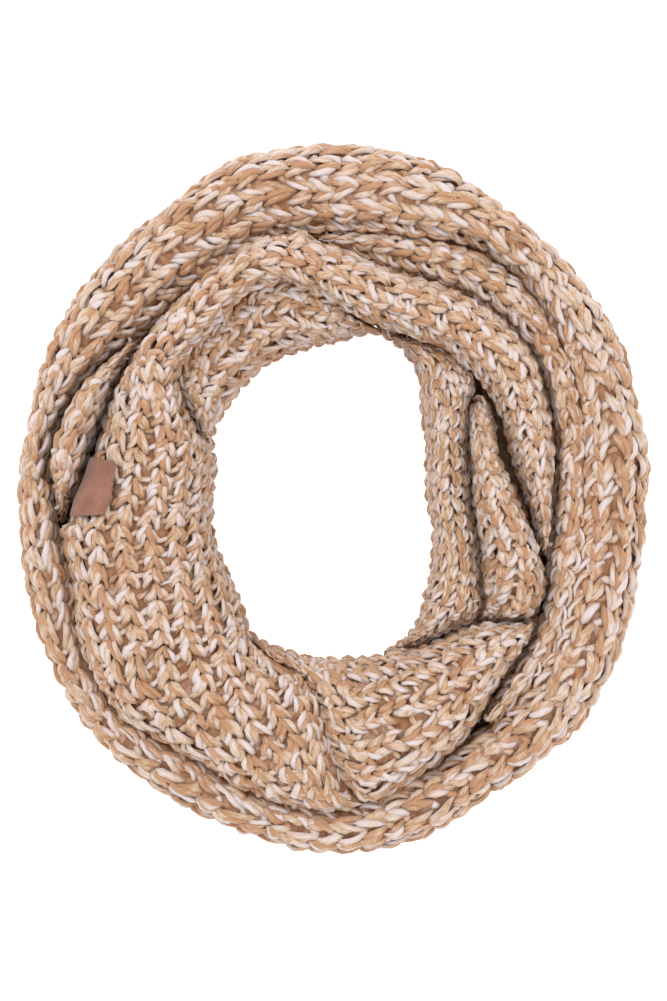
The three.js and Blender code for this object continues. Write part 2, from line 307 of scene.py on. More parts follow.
right_crease = table("angle radius", [
    [-65, 82.2],
    [-48, 87.5],
    [-40, 92.6],
    [-35, 90.8],
    [-29, 83.6],
    [-16, 75.0],
    [0, 68.2],
    [8, 68.9],
    [20, 71.2],
    [35, 81.2],
    [40, 91.5],
    [45, 92.9],
    [55, 91.6],
    [60, 89.8],
    [70, 88.2],
])

turned_edge = table("angle radius", [
    [-40, 94.6],
    [-35, 104.8],
    [-30, 115.6],
    [-25, 115.4],
    [-15, 106.5],
    [0, 92.5],
    [15, 86.0],
    [30, 90.0],
    [35, 91.6],
])

lower_edge = table("angle radius", [
    [-120, 79.2],
    [-105, 79.6],
    [-90, 79.8],
    [-75, 81.0],
    [-65, 82.6],
    [-48, 88.0],
    [-40, 95.0],
    [-35, 105.2],
    [-30, 116.0],
])

label_room = table("angle radius", [
    [160, 0],
    [167, 2.6],
    [183, 2.6],
    [188, 0],
])


def hole_radius(angle):
    return ring_edges("hole", angle)


def outside_radius(angle):
    return ring_edges("outside", angle)


def along(line):
    return lambda angle: line("radius", angle)


def section_of(places):
    """A section at each angle from its places, which are pairs of a radius and a height."""
    radii = np.stack([radius for radius, _ in places], axis=1)
    heights = np.stack([height + 0 * radius for radius, height in places], axis=1)
    return np.stack([radii, heights], axis=2)


def front_outside(angle):
    """The front loop's outer edge: along the middle fold, the outer loop and the left fold in turn."""
    beside_left_fold = np.minimum(left_crease("radius", angle), outer_crease("radius", angle))
    left = beside_left_fold - label_room("radius", angle)
    left = np.where((angle >= 135) & (angle <= 185), left, outer_crease("radius", angle))
    return np.where(angle <= 95, middle_crease("radius", angle), left)


def lower_outside(angle):
    """The lower band's outer edge, which follows the front loop at first and then the folds beside it."""
    front = np.where(angle <= -85, front_edge("radius", angle + 360), np.inf)
    edges = np.minimum(middle_crease("radius", angle), outer_crease("radius", angle))
    return np.minimum(edges, front)


hidden_top = curve_through(
    [-1.0, 0.05, 0.1, 0.17, 0.27, 0.5, 0.73, 0.83, 0.9, 0.95, 2.0],
    [14, 14, 18.5, 21.5, 23.5, 24.5, 23.5, 21.5, 18.5, 14, 14],
)


def hidden_height(angle, radius):
    """How high the top of the hidden layers is."""
    hole = hole_radius(angle)
    return hidden_top((radius - hole) / (outside_radius(angle) - hole))


# The stretches of cloth that show. The form gives the section: the crest's share of the width, the crest's
# height and the heights where the flanks turn straight down. The ribs say where the columns of stitches lie,
# in millimetres along the cloth from the crest, and how far apart they are.

STRETCHES = {
    "outer_loop": {
        "closed": True,
        "span": (0, 360),
        "inner": along(outer_crease),
        "outer": outside_radius,
        "form": ring_table("angle crest top inner_dip outer_dip", [
            [0, 0.34, 58, 50, 26],
            [30, 0.36, 60, 52, 26],
            [45, 0.42, 62, 40, 26],
            [60, 0.45, 62, 38, 26],
            [75, 0.45, 61, 44, 25],
            [90, 0.45, 60, 42, 25],
            [120, 0.48, 60, 46, 25],
            [135, 0.48, 60, 40, 25],
            [150, 0.46, 58, 36, 25],
            [172, 0.45, 56, 33, 25],
            [187, 0.43, 55, 34, 24],
            [205, 0.42, 54, 42, 24],
            [255, 0.4, 51, 40, 24],
            [285, 0.42, 54, 40, 24],
            [300, 0.36, 59, 36, 25],
            [315, 0.3, 62, 48, 26],
            [330, 0.3, 61, 51, 26],
        ]),
        "ribs": ring_table("angle offset pitch", [
            [0, 11, 15],
            [15, 9.5, 14.5],
            [30, 3.5, 14.5],
            [45, 5, 15],
            [55, 9, 15],
            [70, 7, 15],
            [80, 4.5, 14.5],
            [90, -0.5, 14],
            [110, -0.5, 14],
            [125, 5.5, 14],
            [140, 6, 14],
            [165, 2, 14],
            [190, 8, 15],
            [240, 8, 15],
            [270, 10, 15],
            [300, 12, 15],
            [320, 15, 15.5],
            [345, 12, 15.5],
        ]),
    },
    "middle_fold": {
        "span": (-55, 95),
        "inner": along(middle_crease),
        "outer": along(outer_crease),
        "form": table("angle crest top inner_dip outer_dip", [
            [-55, 0.5, 56, 38, 48],
            [-45, 0.5, 60, 38, 50],
            [-30, 0.5, 60, 38, 52],
            [0, 0.5, 58, 36, 50],
            [30, 0.5, 62, 36, 52],
            [45, 0.5, 62, 40, 42],
            [60, 0.58, 60, 42, 40],
            [75, 0.66, 56, 40, 42],
            [88, 0.6, 50, 38, 40],
            [95, 0.6, 46, 38, 40],
        ]),
        "ribs": table("angle offset pitch", [
            [-55, 0, 14],
            [-15, 0, 14],
            [15, 7, 14.5],
            [30, 8, 15],
            [45, 1, 15],
            [95, 0, 14],
        ]),
    },
    "left_fold": {
        "span": (140, 185),
        "inner": along(left_crease),
        "outer": along(outer_crease),
        "form": table("angle crest top inner_dip outer_dip", [
            [140, 0.5, 50, 34, 34],
            [150, 0.5, 65, 34, 34],
            [160, 0.5, 70, 34, 33],
            [172, 0.5, 68, 34, 32],
            [180, 0.5, 55, 34, 32],
            [185, 0.5, 44, 33, 31],
        ]),
        "ribs": even_ribs(0, 13.5),
    },
    "front_loop": {
        "span": (-15, 275),
        "inner": along(front_edge),
        "outer": front_outside,
        "form": table("angle crest top inner_dip outer_dip", [
            [-15, 0.5, 52, 38, 38],
            [0, 0.5, 63, 35, 36],
            [15, 0.5, 68, 35, 37],
            [30, 0.5, 71, 40, 40],
            [45, 0.5, 74, 50, 46],
            [60, 0.5, 76, 56, 46],
            [75, 0.5, 78, 56, 44],
            [90, 0.5, 80, 60, 46],
            [105, 0.5, 80, 63, 52],
            [120, 0.5, 80, 63, 50],
            [135, 0.5, 80, 58, 42],
            [150, 0.5, 80, 38, 40],
            [165, 0.46, 79, 28, 42],
            [187, 0.46, 78, 28, 38],
            [205, 0.46, 77, 28, 44],
            [225, 0.5, 75, 30, 46],
            [240, 0.5, 73, 48, 44],
            [255, 0.5, 71, 54, 42],
            [266, 0.5, 68, 56, 42],
            [270, 0.5, 62, 50, 42],
            [275, 0.5, 50, 44, 42],
        ]),
        "ribs": table("angle offset pitch", [
            [-15, 2, 12],
            [30, 2, 12.5],
            [45, 3, 12.5],
            [55, 4, 13],
            [75, 9.5, 13],
            [85, 11, 13.5],
            [98, 12, 14],
            [103, 15, 14],
            [110, 20, 14],
            [120, 20, 14],
            [130, 15, 14],
            [142, 15, 14],
            [152, 10, 14],
            [165, 11, 14],
            [186, 9, 14.5],
            [195, 10, 14.5],
            [213, 14, 15],
            [223, 22, 16.5],
            [232, 29.5, 17],
            [240, 34.5, 15.5],
            [248, 45.5, 16.5],
            [256, 61, 18],
            [264, 84, 20],
            [270, 103, 21],
            [275, 120, 22],
        ]),
    },
    "inner_wall": {
        "span": (75, 155),
        "inner": hole_radius,
        "outer": along(front_edge),
        "form": table("angle crest top inner_dip outer_dip", [
            [75, 0.5, 42, 26, 34],
            [85, 0.65, 54, 26, 48],
            [95, 0.78, 60, 26, 54],
            [140, 0.78, 60, 26, 54],
            [148, 0.6, 54, 26, 44],
            [155, 0.5, 42, 26, 32],
        ]),
        "ribs": even_ribs(-1, 15),
    },
    "right_inner": {
        "span": (-65, 70),
        "inner": hole_radius,
        "outer": along(right_crease),
        "form": table("angle crest top inner_dip outer_dip", [
            [-65, 0.5, 44, 26, 32],
            [-50, 0.42, 54, 26, 36],
            [-30, 0.36, 58, 26, 36],
            [0, 0.34, 61, 26, 36],
            [30, 0.36, 62, 26, 38],
            [45, 0.42, 60, 26, 44],
            [60, 0.5, 54, 26, 42],
            [70, 0.5, 44, 26, 34],
        ]),
        "ribs": even_ribs(0, 9),
    },
    "turned_fold": {
        "span": (-40, 35),
        "inner": along(right_crease),
        "outer": along(turned_edge),
        "form": table("angle crest top inner_dip outer_dip", [
            [-40, 0.5, 44, 34, 34],
            [-35, 0.5, 56, 35, 36],
            [-28, 0.5, 67, 36, 38],
            [-15, 0.55, 74, 36, 38],
            [0, 0.52, 74, 36, 36],
            [15, 0.5, 72, 36, 36],
            [25, 0.5, 66, 37, 37],
            [35, 0.5, 52, 38, 38],
        ]),
        "ribs": table("angle offset pitch", [
            [-40, 7, 14],
            [-15, 7, 14],
            [10, 5, 14],
            [35, 0, 13],
        ]),
    },
    "lower_band": {
        "span": (-120, -30),
        "inner": along(lower_edge),
        "outer": lower_outside,
        "form": table("angle crest top inner_dip outer_dip", [
            [-120, 0.5, 42, 26, 34],
            [-110, 0.5, 54, 26, 48],
            [-98, 0.5, 60, 27, 50],
            [-90, 0.45, 64, 28, 50],
            [-80, 0.42, 68, 28, 44],
            [-60, 0.45, 72, 28, 36],
            [-45, 0.5, 71, 30, 34],
            [-38, 0.5, 68, 32, 34],
            [-30, 0.5, 50, 36, 36],
        ]),
        "ribs": even_ribs(0, 14.5),
    },
}


# Surfaces: a grid of points over a stretch's outer side, found by angle and by the way along the section

def arch_profile(stretch, angle):
    """The section's outer line at each angle, from the inner foot over the crest to the outer foot."""
    form = {name: stretch["form"](name, angle) for name in ("crest", "top", "inner_dip", "outer_dip")}
    inner = stretch["inner"](angle) + CLOTH_GAP / 2
    outer = stretch["outer"](angle) - CLOTH_GAP / 2
    most_tuck = MOST_TUCK * (outer - inner)
    faces_hole = np.clip(1 - (inner - hole_radius(angle)) / TUCK_FADE, 0, 1)
    faces_outside = np.clip(1 - (outside_radius(angle) - outer) / TUCK_FADE, 0, 1)
    inner_foot = inner + np.minimum(EDGE_TUCK * faces_hole, most_tuck)
    outer_foot = outer - np.minimum(EDGE_TUCK * faces_outside, most_tuck)
    crest = inner + form["crest"] * (outer - inner)
    places = [(inner_foot, hidden_height(angle, inner_foot) + REST_GAP)]
    for i in range(2 * FINE_STEPS + 1):
        turn = math.pi / 2 * i / FINE_STEPS
        rise = abs(math.sin(turn)) ** ARC_POWER
        reach = abs(math.cos(turn)) ** ARC_POWER
        edge, dip = (inner, form["inner_dip"]) if i <= FINE_STEPS else (outer, form["outer_dip"])
        places.append((crest + (edge - crest) * reach, dip + (form["top"] - dip) * rise))
    places.append((outer_foot, hidden_height(angle, outer_foot) + REST_GAP))
    return section_of(places), faces_hole, faces_outside


def unit(vectors):
    return vectors / np.maximum(np.linalg.norm(vectors, axis=-1, keepdims=True), 1e-9)


class Surface:
    """The outer side of a stretch of cloth, as points on a grid of angles by places along the section."""

    ANGLE_STEP = 1.0
    PLACES = 97

    def __init__(self, span, profile_at, closed=False, crest_point=None):
        count = max(2, int(round((span[1] - span[0]) / self.ANGLE_STEP)) + 1)
        self.angles = np.linspace(span[0], span[1], count)
        self.closed = closed
        profile, self.faces_hole, self.faces_outside = profile_at(self.angles)
        self.width = np.ptp(profile[:, :, 0], axis=1)
        self.inner_crease = 1 - self.faces_hole
        self.outer_crease = 1 - self.faces_outside
        steps = np.linalg.norm(np.diff(profile, axis=1), axis=2)
        way = np.concatenate([np.zeros((count, 1)), np.cumsum(steps, axis=1)], axis=1)
        self.length = way[:, -1]
        self.inner_leg = way[:, 1]
        self.outer_leg = steps[:, -1]
        middle = profile.shape[1] // 2 if crest_point is None else crest_point
        self.crest = way[:, middle]
        share = np.linspace(0, 1, self.PLACES)
        even = np.empty((count, self.PLACES, 2))
        for i in range(count):
            for axis in (0, 1):
                even[i, :, axis] = np.interp(share * self.length[i], way[i], profile[i, :, axis])
        turn = np.radians(self.angles)[:, None]
        radius = even[:, :, 0]
        self.points = np.stack([radius * np.cos(turn), radius * np.sin(turn), even[:, :, 1]], axis=2)
        self.normals = self.find_normals()

    def find_normals(self):
        ring = np.gradient(self.points, axis=0)
        if self.closed:
            ends = self.points[1] - self.points[-2]
            ring[0] = ends
            ring[-1] = ends
        across = np.gradient(self.points, axis=1)
        return unit(np.cross(across, ring))

    def at_angle(self, values, angle):
        return np.interp(self.wrap(angle), self.angles, values)

    def nearness_to_crease(self, angle, offset):
        """One in a crease, falling to nothing beside it. A flank over the hole or outside has no crease."""
        from_inner = offset + self.at_angle(self.crest - self.inner_leg, angle)
        from_outer = self.at_angle(self.length - self.outer_leg - self.crest, angle) - offset
        inner = self.at_angle(self.inner_crease, angle) * np.clip(1 - from_inner / CREASE_ROUNDING, 0, 1)
        outer = self.at_angle(self.outer_crease, angle) * np.clip(1 - from_outer / CREASE_ROUNDING, 0, 1)
        return np.maximum(inner, outer)

    def wrap(self, angle):
        if self.closed:
            return self.angles[0] + np.mod(angle - self.angles[0], 360)
        return np.clip(angle, self.angles[0], self.angles[-1])

    def place(self, angle, offset):
        """Points and normals at an angle, and at an offset along the section outwards from its crest."""
        angle = self.wrap(angle)
        crest = np.interp(angle, self.angles, self.crest)
        share = (crest + offset) / np.interp(angle, self.angles, self.length)
        row = (angle - self.angles[0]) / (self.angles[1] - self.angles[0])
        row = np.clip(row, 0, len(self.angles) - 1.000001)
        column = np.clip(share, 0, 0.999999) * (self.PLACES - 1)
        i = row.astype(int)
        j = column.astype(int)
        s = (row - i)[..., None]
        t = (column - j)[..., None]

        def mixed(grid):
            low = grid[i, j] * (1 - t) + grid[i, j + 1] * t
            high = grid[i + 1, j] * (1 - t) + grid[i + 1, j + 1] * t
            return low * (1 - s) + high * s

        return mixed(self.points), unit(mixed(self.normals))


# Meshes from arrays

NO_TRIANGLES = np.empty((0, 3), int)


def new_object(name, data):
    piece = bpy.data.objects.new(name, data)
    bpy.context.scene.collection.objects.link(piece)
    return piece


def mesh_object(name, points, quads, triangles, material, attributes=None):
    """A smooth mesh object. Points are in millimetres, faces are arrays of point numbers."""
    mesh = bpy.data.meshes.new(name)
    loops = np.concatenate([quads.ravel(), triangles.ravel()]).astype(np.int32)
    totals = np.concatenate([np.full(len(quads), 4), np.full(len(triangles), 3)]).astype(np.int32)
    starts = np.concatenate([[0], np.cumsum(totals)[:-1]]).astype(np.int32)
    mesh.vertices.add(len(points))
    mesh.vertices.foreach_set("co", (points * MM).astype(np.float32).ravel())
    mesh.loops.add(len(loops))
    mesh.loops.foreach_set("vertex_index", loops)
    mesh.polygons.add(len(totals))
    mesh.polygons.foreach_set("loop_start", starts)
    mesh.polygons.foreach_set("use_smooth", np.ones(len(totals), bool))
    for title, (kind, values) in (attributes or {}).items():
        field = "vector" if kind == "FLOAT_VECTOR" else "value"
        mesh.attributes.new(title, kind, "POINT").data.foreach_set(field, values.astype(np.float32).ravel())
    mesh.update(calc_edges=True)
    mesh.validate()
    mesh.materials.append(material)
    return new_object(name, mesh)


def grid_quads(rows, columns, rows_close, columns_close):
    """The quads of a grid of points, which may close on itself either way."""
    i = np.arange(rows if rows_close else rows - 1)[:, None]
    j = np.arange(columns if columns_close else columns - 1)[None, :]
    up = (i + 1) % rows
    on = (j + 1) % columns
    corners = [i * columns + j, up * columns + j, up * columns + on, i * columns + on]
    return np.stack(np.broadcast_arrays(*corners), axis=-1).reshape(-1, 4)


def closed_section_mesh(name, upper, lower, closed, material):
    """A solid sheet between two grids of points. Each section goes out along the upper line, then back."""
    section = np.concatenate([upper, lower[:, ::-1]], axis=1)
    rows, columns = section.shape[:2]
    quads = grid_quads(rows, columns, closed, True)[:, ::-1]
    if not closed:
        j = np.arange(columns // 2 - 1)
        cap = np.stack([j, j + 1, columns - 2 - j, columns - 1 - j], axis=1)
        quads = np.concatenate([quads, cap[:, ::-1], (rows - 1) * columns + cap])
    return mesh_object(name, section.reshape(-1, 3), quads, NO_TRIANGLES, material)


def cloth_shell(name, surface, material):
    """A thin closed shell of cloth a little under a surface, with plain rims."""
    start, end = surface.angles[0], surface.angles[-1]
    count = int(round((end - start) / SHELL_STEP))
    angles = np.linspace(start, end, count + 1)
    if surface.closed:
        angles = angles[:-1]
    share = np.linspace(0, 1, SHELL_PLACES + 1)
    crest = surface.at_angle(surface.crest, angles)[:, None]
    length = surface.at_angle(surface.length, angles)[:, None]
    grid_angles = np.repeat(angles[:, None], len(share), axis=1)
    offsets = share * length - crest
    points, normals = surface.place(grid_angles, offsets)
    width = surface.at_angle(surface.width, angles)[:, None]
    narrow = np.minimum(1, SHELL_SHARE * width / GROUND_DEPTH)
    near = surface.nearness_to_crease(grid_angles, offsets)
    depth = GROUND_DEPTH * narrow * (1 - CREASE_THINNING * near)
    points[..., 2] += CREASE_RISE * near**1.5 * narrow
    upper = points - normals * depth[..., None]
    lower = points - normals * (depth + GROUND_THICKNESS * narrow)[..., None]
    return closed_section_mesh(name, upper, lower, surface.closed, material)


# Yarn: each leg of a stitch is two loosely twisted strands, one light and one dark

def strand_faces(count):
    """Quads and triangles of many closed strands, each with rings of points and a point at either end."""
    ring = grid_quads(STRAND_RINGS, STRAND_SIDES, False, True)[:, ::-1]
    first = STRAND_RINGS * STRAND_SIDES
    side = np.arange(STRAND_SIDES)
    on = (side + 1) % STRAND_SIDES
    tail = first - STRAND_SIDES
    start_cap = np.stack([np.full(STRAND_SIDES, first), on, side], axis=1)
    end_cap = np.stack([np.full(STRAND_SIDES, first + 1), tail + side, tail + on], axis=1)
    size = first + 2
    shift = (np.arange(count) * size)[:, None, None]
    quads = (ring[None] + shift).reshape(-1, 4)
    triangles = (np.concatenate([start_cap, end_cap])[None] + shift).reshape(-1, 3)
    return quads, triangles


def strands(paths, ups, sizes, twist, tones, rng, number):
    """One strand, or two twisted ones, along each path. Paths and ups are paths by rings by three."""
    share = np.linspace(0, 1, STRAND_RINGS)
    along_path = unit(np.gradient(paths, axis=1))
    side = unit(np.cross(ups, along_path))
    up = np.cross(along_path, side)
    length = np.linalg.norm(np.diff(paths, axis=1), axis=2).sum(axis=1)
    from_middle = np.abs(2 * share - 1)
    taper = (1 - from_middle**3.6) ** 0.5 * (1 - END_THICKNESS) + END_THICKNESS
    around = math.pi / 2 + np.arange(STRAND_SIDES) / STRAND_SIDES * 2 * math.pi
    shade = SHADED_SIDE * np.clip(-np.sin(around), 0, 1)
    count = len(paths)
    lean = rng.normal(0, 0.5, count)
    apart = STRANDS_APART if number > 1 else 0
    points = []
    fibres = []
    tone_values = []
    for strand in range(number):
        turn = lean[:, None] + strand * math.pi + twist[:, None] * (share - 0.5)[None, :] * 2 * math.pi
        reach = apart * sizes[:, None] * (0.4 + 0.6 * taper[None, :])
        sideways = side * (np.cos(turn) * reach)[..., None]
        middle = paths + sideways + up * (np.sin(turn) * reach * PAIR_FLATNESS)[..., None]
        thick = (STRAND_RADIUS * sizes * rng.normal(1, THICKNESS_STRAY, count))[:, None] * taper[None, :]
        thick = thick * (1 + LUMPS * rng.normal(0, 1, (count, STRAND_RINGS)))
        ring = (np.cos(around)[None, None, :, None] * side[:, :, None, :]
                + STRAND_FLATNESS * np.sin(around)[None, None, :, None] * up[:, :, None, :])
        rings = middle[:, :, None, :] + ring * thick[..., None, None]
        overshoot = along_path * (END_LENGTH * STRAND_RADIUS * sizes)[:, None, None]
        starts = middle[:, 0] - overshoot[:, 0]
        ends = middle[:, -1] + overshoot[:, -1]
        body = rings.reshape(count, -1, 3)
        points.append(np.concatenate([body, starts[:, None], ends[:, None]], axis=1))
        way = share[None, :, None] * length[:, None, None] * FIBRE_LENGTH
        own = rng.uniform(0, 60, count)[:, None, None]
        lap = around[None, None, :] + turn[..., None] * 0.8
        fibre = [FIBRE_WIDTH * np.cos(lap), FIBRE_WIDTH * np.sin(lap), way + own]
        fibre = np.stack(np.broadcast_arrays(*fibre), axis=-1)
        caps = np.stack([np.zeros(count), np.zeros(count), own[:, 0, 0]], axis=1)
        fibres.append(np.concatenate([fibre.reshape(count, -1, 3), caps[:, None], caps[:, None]], axis=1))
        start = rng.random((count, 1))
        turns = rng.uniform(0.6, 1.4, (count, 1))
        waves = TONE_WAVES * np.sin(2 * math.pi * (start + turns * share))
        tone = tones[strand][:, None] + waves - SHADED_ENDS * from_middle**2.5
        sides = (tone[:, :, None] - shade).reshape(count, -1)
        tone_values.append(np.concatenate([sides, tone[:, :1], tone[:, -1:]], axis=1))
    return np.concatenate(points), np.concatenate(fibres), np.concatenate(tone_values)


def strand_tones(count, rng):
    """How light each of the two strands is: mostly one light and one dark, now and then two alike."""
    light = rng.normal(LIGHT_TONE, 0.12, count)
    dark = rng.normal(DARK_TONE, 0.14, count)
    chance = rng.random(count)
    first = np.where(chance < 0.3, dark, light)
    second = np.where((chance > 0.16) & (chance < 0.93), np.where(chance < 0.3, light, dark), first)
    return first, second


def column_runs(surface, stretch_ribs, number, reach_in, reach_out):
    """The angles where a column of stitches lies on the part of a surface that shows, as unbroken runs."""
    step = 0.5
    start, end = surface.angles[0], surface.angles[-1]
    angles = np.arange(start, end + step / 2, step)
    offset = stretch_ribs("offset", angles) + number * stretch_ribs("pitch", angles)
    low = reach_in(angles)
    high = reach_out(angles)
    wide_enough = surface.closed | (surface.at_angle(surface.width, angles) > NARROWEST_CLOTH)
    good = (offset > low) & (offset < high) & wide_enough
    runs = []
    i = 0
    while i < len(angles):
        if good[i]:
            j = i
            while j + 1 < len(angles) and good[j + 1]:
                j += 1
            runs.append((angles[i:j + 1], offset[i:j + 1]))
            i = j + 1
        else:
            i += 1
    return runs


class Column:
    """A path along a surface for one column of stitches, with evenly numbered rows."""

    def __init__(self, surface, angles, offsets, pitches):
        points, normals = surface.place(angles, offsets)
        steps = np.linalg.norm(np.diff(points, axis=0), axis=1)
        radius = np.hypot(points[1:, 0], points[1:, 1])
        # What a millimetre square to the column is, in degrees of angle and in offset.
        probe = 0.5
        ahead, _ = surface.place(angles + probe, offsets)
        behind, _ = surface.place(angles - probe, offsets)
        outward, _ = surface.place(angles, offsets + probe)
        inward, _ = surface.place(angles, offsets - probe)
        per_degree = (ahead - behind) / (2 * probe)
        per_offset = (outward - inward) / (2 * probe)
        square = np.cross(unit(np.gradient(points, axis=0)), normals)
        degree_size = np.sum(per_degree * per_degree, axis=1)
        offset_size = np.sum(per_offset * per_offset, axis=1)
        shared = np.sum(per_degree * per_offset, axis=1)
        square_turn = np.sum(square * per_degree, axis=1)
        square_way = np.sum(square * per_offset, axis=1)
        spread = np.maximum(degree_size * offset_size - shared**2, 1e-6)
        degrees = (square_turn * offset_size - square_way * shared) / spread
        way = (square_way * degree_size - square_turn * shared) / spread
        self.square_degrees = np.clip(degrees, -1, 1)
        self.square_offset = np.clip(way, 0.2, 1.2)
        row_pitch = np.clip(np.radians(ROW_DEGREES) * radius, NARROWEST_ROW, WIDEST_ROW)
        rows = np.concatenate([[0], np.cumsum(steps / row_pitch)])
        self.surface = surface
        self.angles = angles
        self.offsets = offsets
        self.pitches = pitches
        self.count = int(round(rows[-1]))
        self.rows = rows * self.count / rows[-1]
        self.row_sizes = np.concatenate([row_pitch[:1], row_pitch])
        self.narrowing = np.clip(surface.at_angle(surface.width, angles) / FULL_SIZE_CLOTH, 0.3, 1)
        if surface.closed:
            self.narrowing = np.ones(len(angles))
        self.whole = surface.closed and angles[-1] - angles[0] > 359

    def wander(self, angle, offset, number):
        """How hand-laid cloth strays from an even lay, as a share of one, smoothly from place to place."""
        turn = np.radians(angle)
        waves = np.sin(17 * turn + 0.11 * offset + number) + np.sin(31 * turn - 0.19 * offset + 2.3 * number)
        return 0.5 * waves + 0.35 * np.sin(53 * turn + 0.31 * offset + 4.1 * number)

    def at_row(self, values, row):
        if self.whole:
            row = np.mod(row, self.count)
        return np.interp(row, self.rows, values)

    def keep_inside(self, row):
        """Move the yarn paths that reach past either end back, so that they end there."""
        if self.whole:
            return row
        row = row - np.maximum(row.max(axis=1, keepdims=True) - self.count, 0)
        return row - np.minimum(row.min(axis=1, keepdims=True), 0)

    def place(self, row, sideways, lift):
        angle = self.at_row(self.angles, row)
        offset = self.at_row(self.offsets, row)
        stray = ROW_STRAY * ROW_DEGREES * self.wander(angle, offset + sideways, 1)
        side_stray = SIDE_STRAY * self.at_row(self.pitches, row) / FULL_PITCH
        sideways = sideways + side_stray * self.wander(angle, offset, 2)
        lift = lift + LIFT_STRAY * self.wander(angle, offset + sideways, 3)
        angle = angle + stray + sideways * self.at_row(self.square_degrees, row)
        offset = offset + sideways * self.at_row(self.square_offset, row)
        near = self.surface.nearness_to_crease(angle, offset)
        lift = lift + CREASE_BULGE * near
        points, normals = self.surface.place(angle, offset)
        points = points + normals * lift[..., None]
        points[..., 2] += CREASE_RISE * near**1.5
        return points, normals


def with_size(lift, size):
    """The heights of finer yarn, which lies closer to the surface, though not in full proportion."""
    return lift * (0.35 + 0.65 * size[:, None])


def stitch_legs(column, rng):
    """The middle lines and sizes of both legs of each stitch. The legs close towards smaller angles."""
    count = column.count
    share = np.linspace(0, 1, STRAND_RINGS)[None, :]
    bow = np.sin(share * math.pi)
    even = np.arange(count) + 0.5
    half = np.minimum(STITCH_HALF_WIDTH, STITCH_SHARE * column.at_row(column.pitches, even))
    row_size = column.at_row(column.row_sizes, even)
    spacing = row_size * half / np.hypot(half, LEG_ROWS / LEG_LEAN * row_size)
    size = np.clip(spacing / LEG_SPACING, 0.5, 1.12) * column.at_row(column.narrowing, even)
    paths = []
    ups = []
    sizes = []
    for side in (-1, 1):
        middle = even + rng.normal(0, 0.05, count)
        reach = (LEG_ROWS * (1 + rng.normal(0, 0.07, count)))[:, None]
        wide = (half * (1 + rng.normal(0, 0.05, count)))[:, None]
        narrow = (0.5 + rng.normal(0, 0.45, count))[:, None] * size[:, None]
        closing = 1 - np.maximum(1 - LEG_LEAN * share, 0) ** 1.15
        sideways = side * (wide + (narrow - wide) * closing + 0.4 * bow * size[:, None])
        height = (0.9 + 0.2 * rng.random(count))[:, None]
        valley = VALLEY_DEPTH * np.clip(1 - 1.6 * share, 0, 1)
        lift = YARN_BASE - LEG_END_DROP + LEG_ARCH * bow**0.75 * height + LEG_RISE * share - valley
        row = column.keep_inside(middle[:, None] + reach * (0.5 - share))
        points, normals = column.place(row, sideways, with_size(lift, size))
        paths.append(points)
        # The strands' sides are counted outwards on both legs.
        ups.append(normals * side)
        sizes.append(size)
    return np.concatenate(paths), np.concatenate(ups), np.concatenate(sizes)


def ladder_bars(column, rng):
    """The middle lines and sizes of the short bars of yarn that lie across the valley beside a column."""
    count = column.count
    share = np.linspace(0, 1, STRAND_RINGS)[None, :]
    bow = np.sin(share * math.pi)
    even = np.arange(count) + 0.3
    size = np.clip(column.at_row(column.row_sizes, even) / 11, 0.55, 1.1)
    half = np.maximum(SHORTEST_BAR, 0.5 * column.at_row(column.pitches, even) - STITCH_OVER_BAR)
    half = half * (1 + rng.normal(0, 0.12, count))
    middle = even + rng.normal(0, 0.07, count)
    row = middle[:, None] + 0.16 * (2 * share - 1) + rng.normal(0, 0.03, (count, 1))
    lift = with_size(YARN_BASE - BAR_END_DROP + BAR_ARCH * bow, size)
    points, normals = column.place(column.keep_inside(row), half[:, None] * (2 * share - 1), lift)
    return points, normals, size


def knit_piece(name, surface, ribs, material, rng, reach_in, reach_out):
    """All the yarn that shows on a surface, joined into one mesh."""
    legs = []
    crossings = []
    for number in range(-COLUMNS_EACH_WAY, COLUMNS_EACH_WAY + 1):
        for made, half, make in ((legs, 0, stitch_legs), (crossings, 0.5, ladder_bars)):
            for angles, offsets in column_runs(surface, ribs, number + half, reach_in, reach_out):
                if len(angles) < 3:
                    continue
                column = Column(surface, angles, offsets, ribs("pitch", angles))
                if column.count > 0:
                    made.append(make(column, rng))
    parts = []
    for made, number in ((legs, 2), (crossings, 1)):
        if not made:
            continue
        paths, ups, sizes = (np.concatenate(values) for values in zip(*made))
        twist = rng.normal(TWIST, TWIST_STRAY, len(paths))
        tones = strand_tones(len(paths), rng)
        if number == 1:
            tones = [tone - BAR_SHADE for tone in tones]
        parts.append(strands(paths, ups, sizes, twist, tones, rng, number))
    points, fibres, tones = (np.concatenate(values) for values in zip(*parts))
    quads, triangles = strand_faces(len(points))
    return mesh_object(name, points.reshape(-1, 3), quads, triangles, material, {
        "fibre": ("FLOAT_VECTOR", fibres.reshape(-1, 3)),
        "tone": ("FLOAT", tones.ravel()),
    })


# Materials

def new_material(name):
    material = bpy.data.materials.new(name)
    material.use_nodes = True
    nodes = material.node_tree.nodes
    nodes.clear()
    output = nodes.new("ShaderNodeOutputMaterial")
    shader = nodes.new("ShaderNodeBsdfPrincipled")
    material.node_tree.links.new(shader.outputs["BSDF"], output.inputs["Surface"])
    return material, nodes, material.node_tree.links, shader


def attribute_node(nodes, title):
    node = nodes.new("ShaderNodeAttribute")
    node.attribute_name = title
    return node


def noise_node(nodes, links, vector, scale, detail, roughness):
    node = nodes.new("ShaderNodeTexNoise")
    node.inputs["Scale"].default_value = scale
    node.inputs["Detail"].default_value = detail
    node.inputs["Roughness"].default_value = roughness
    links.new(vector, node.inputs["Vector"])
    return node


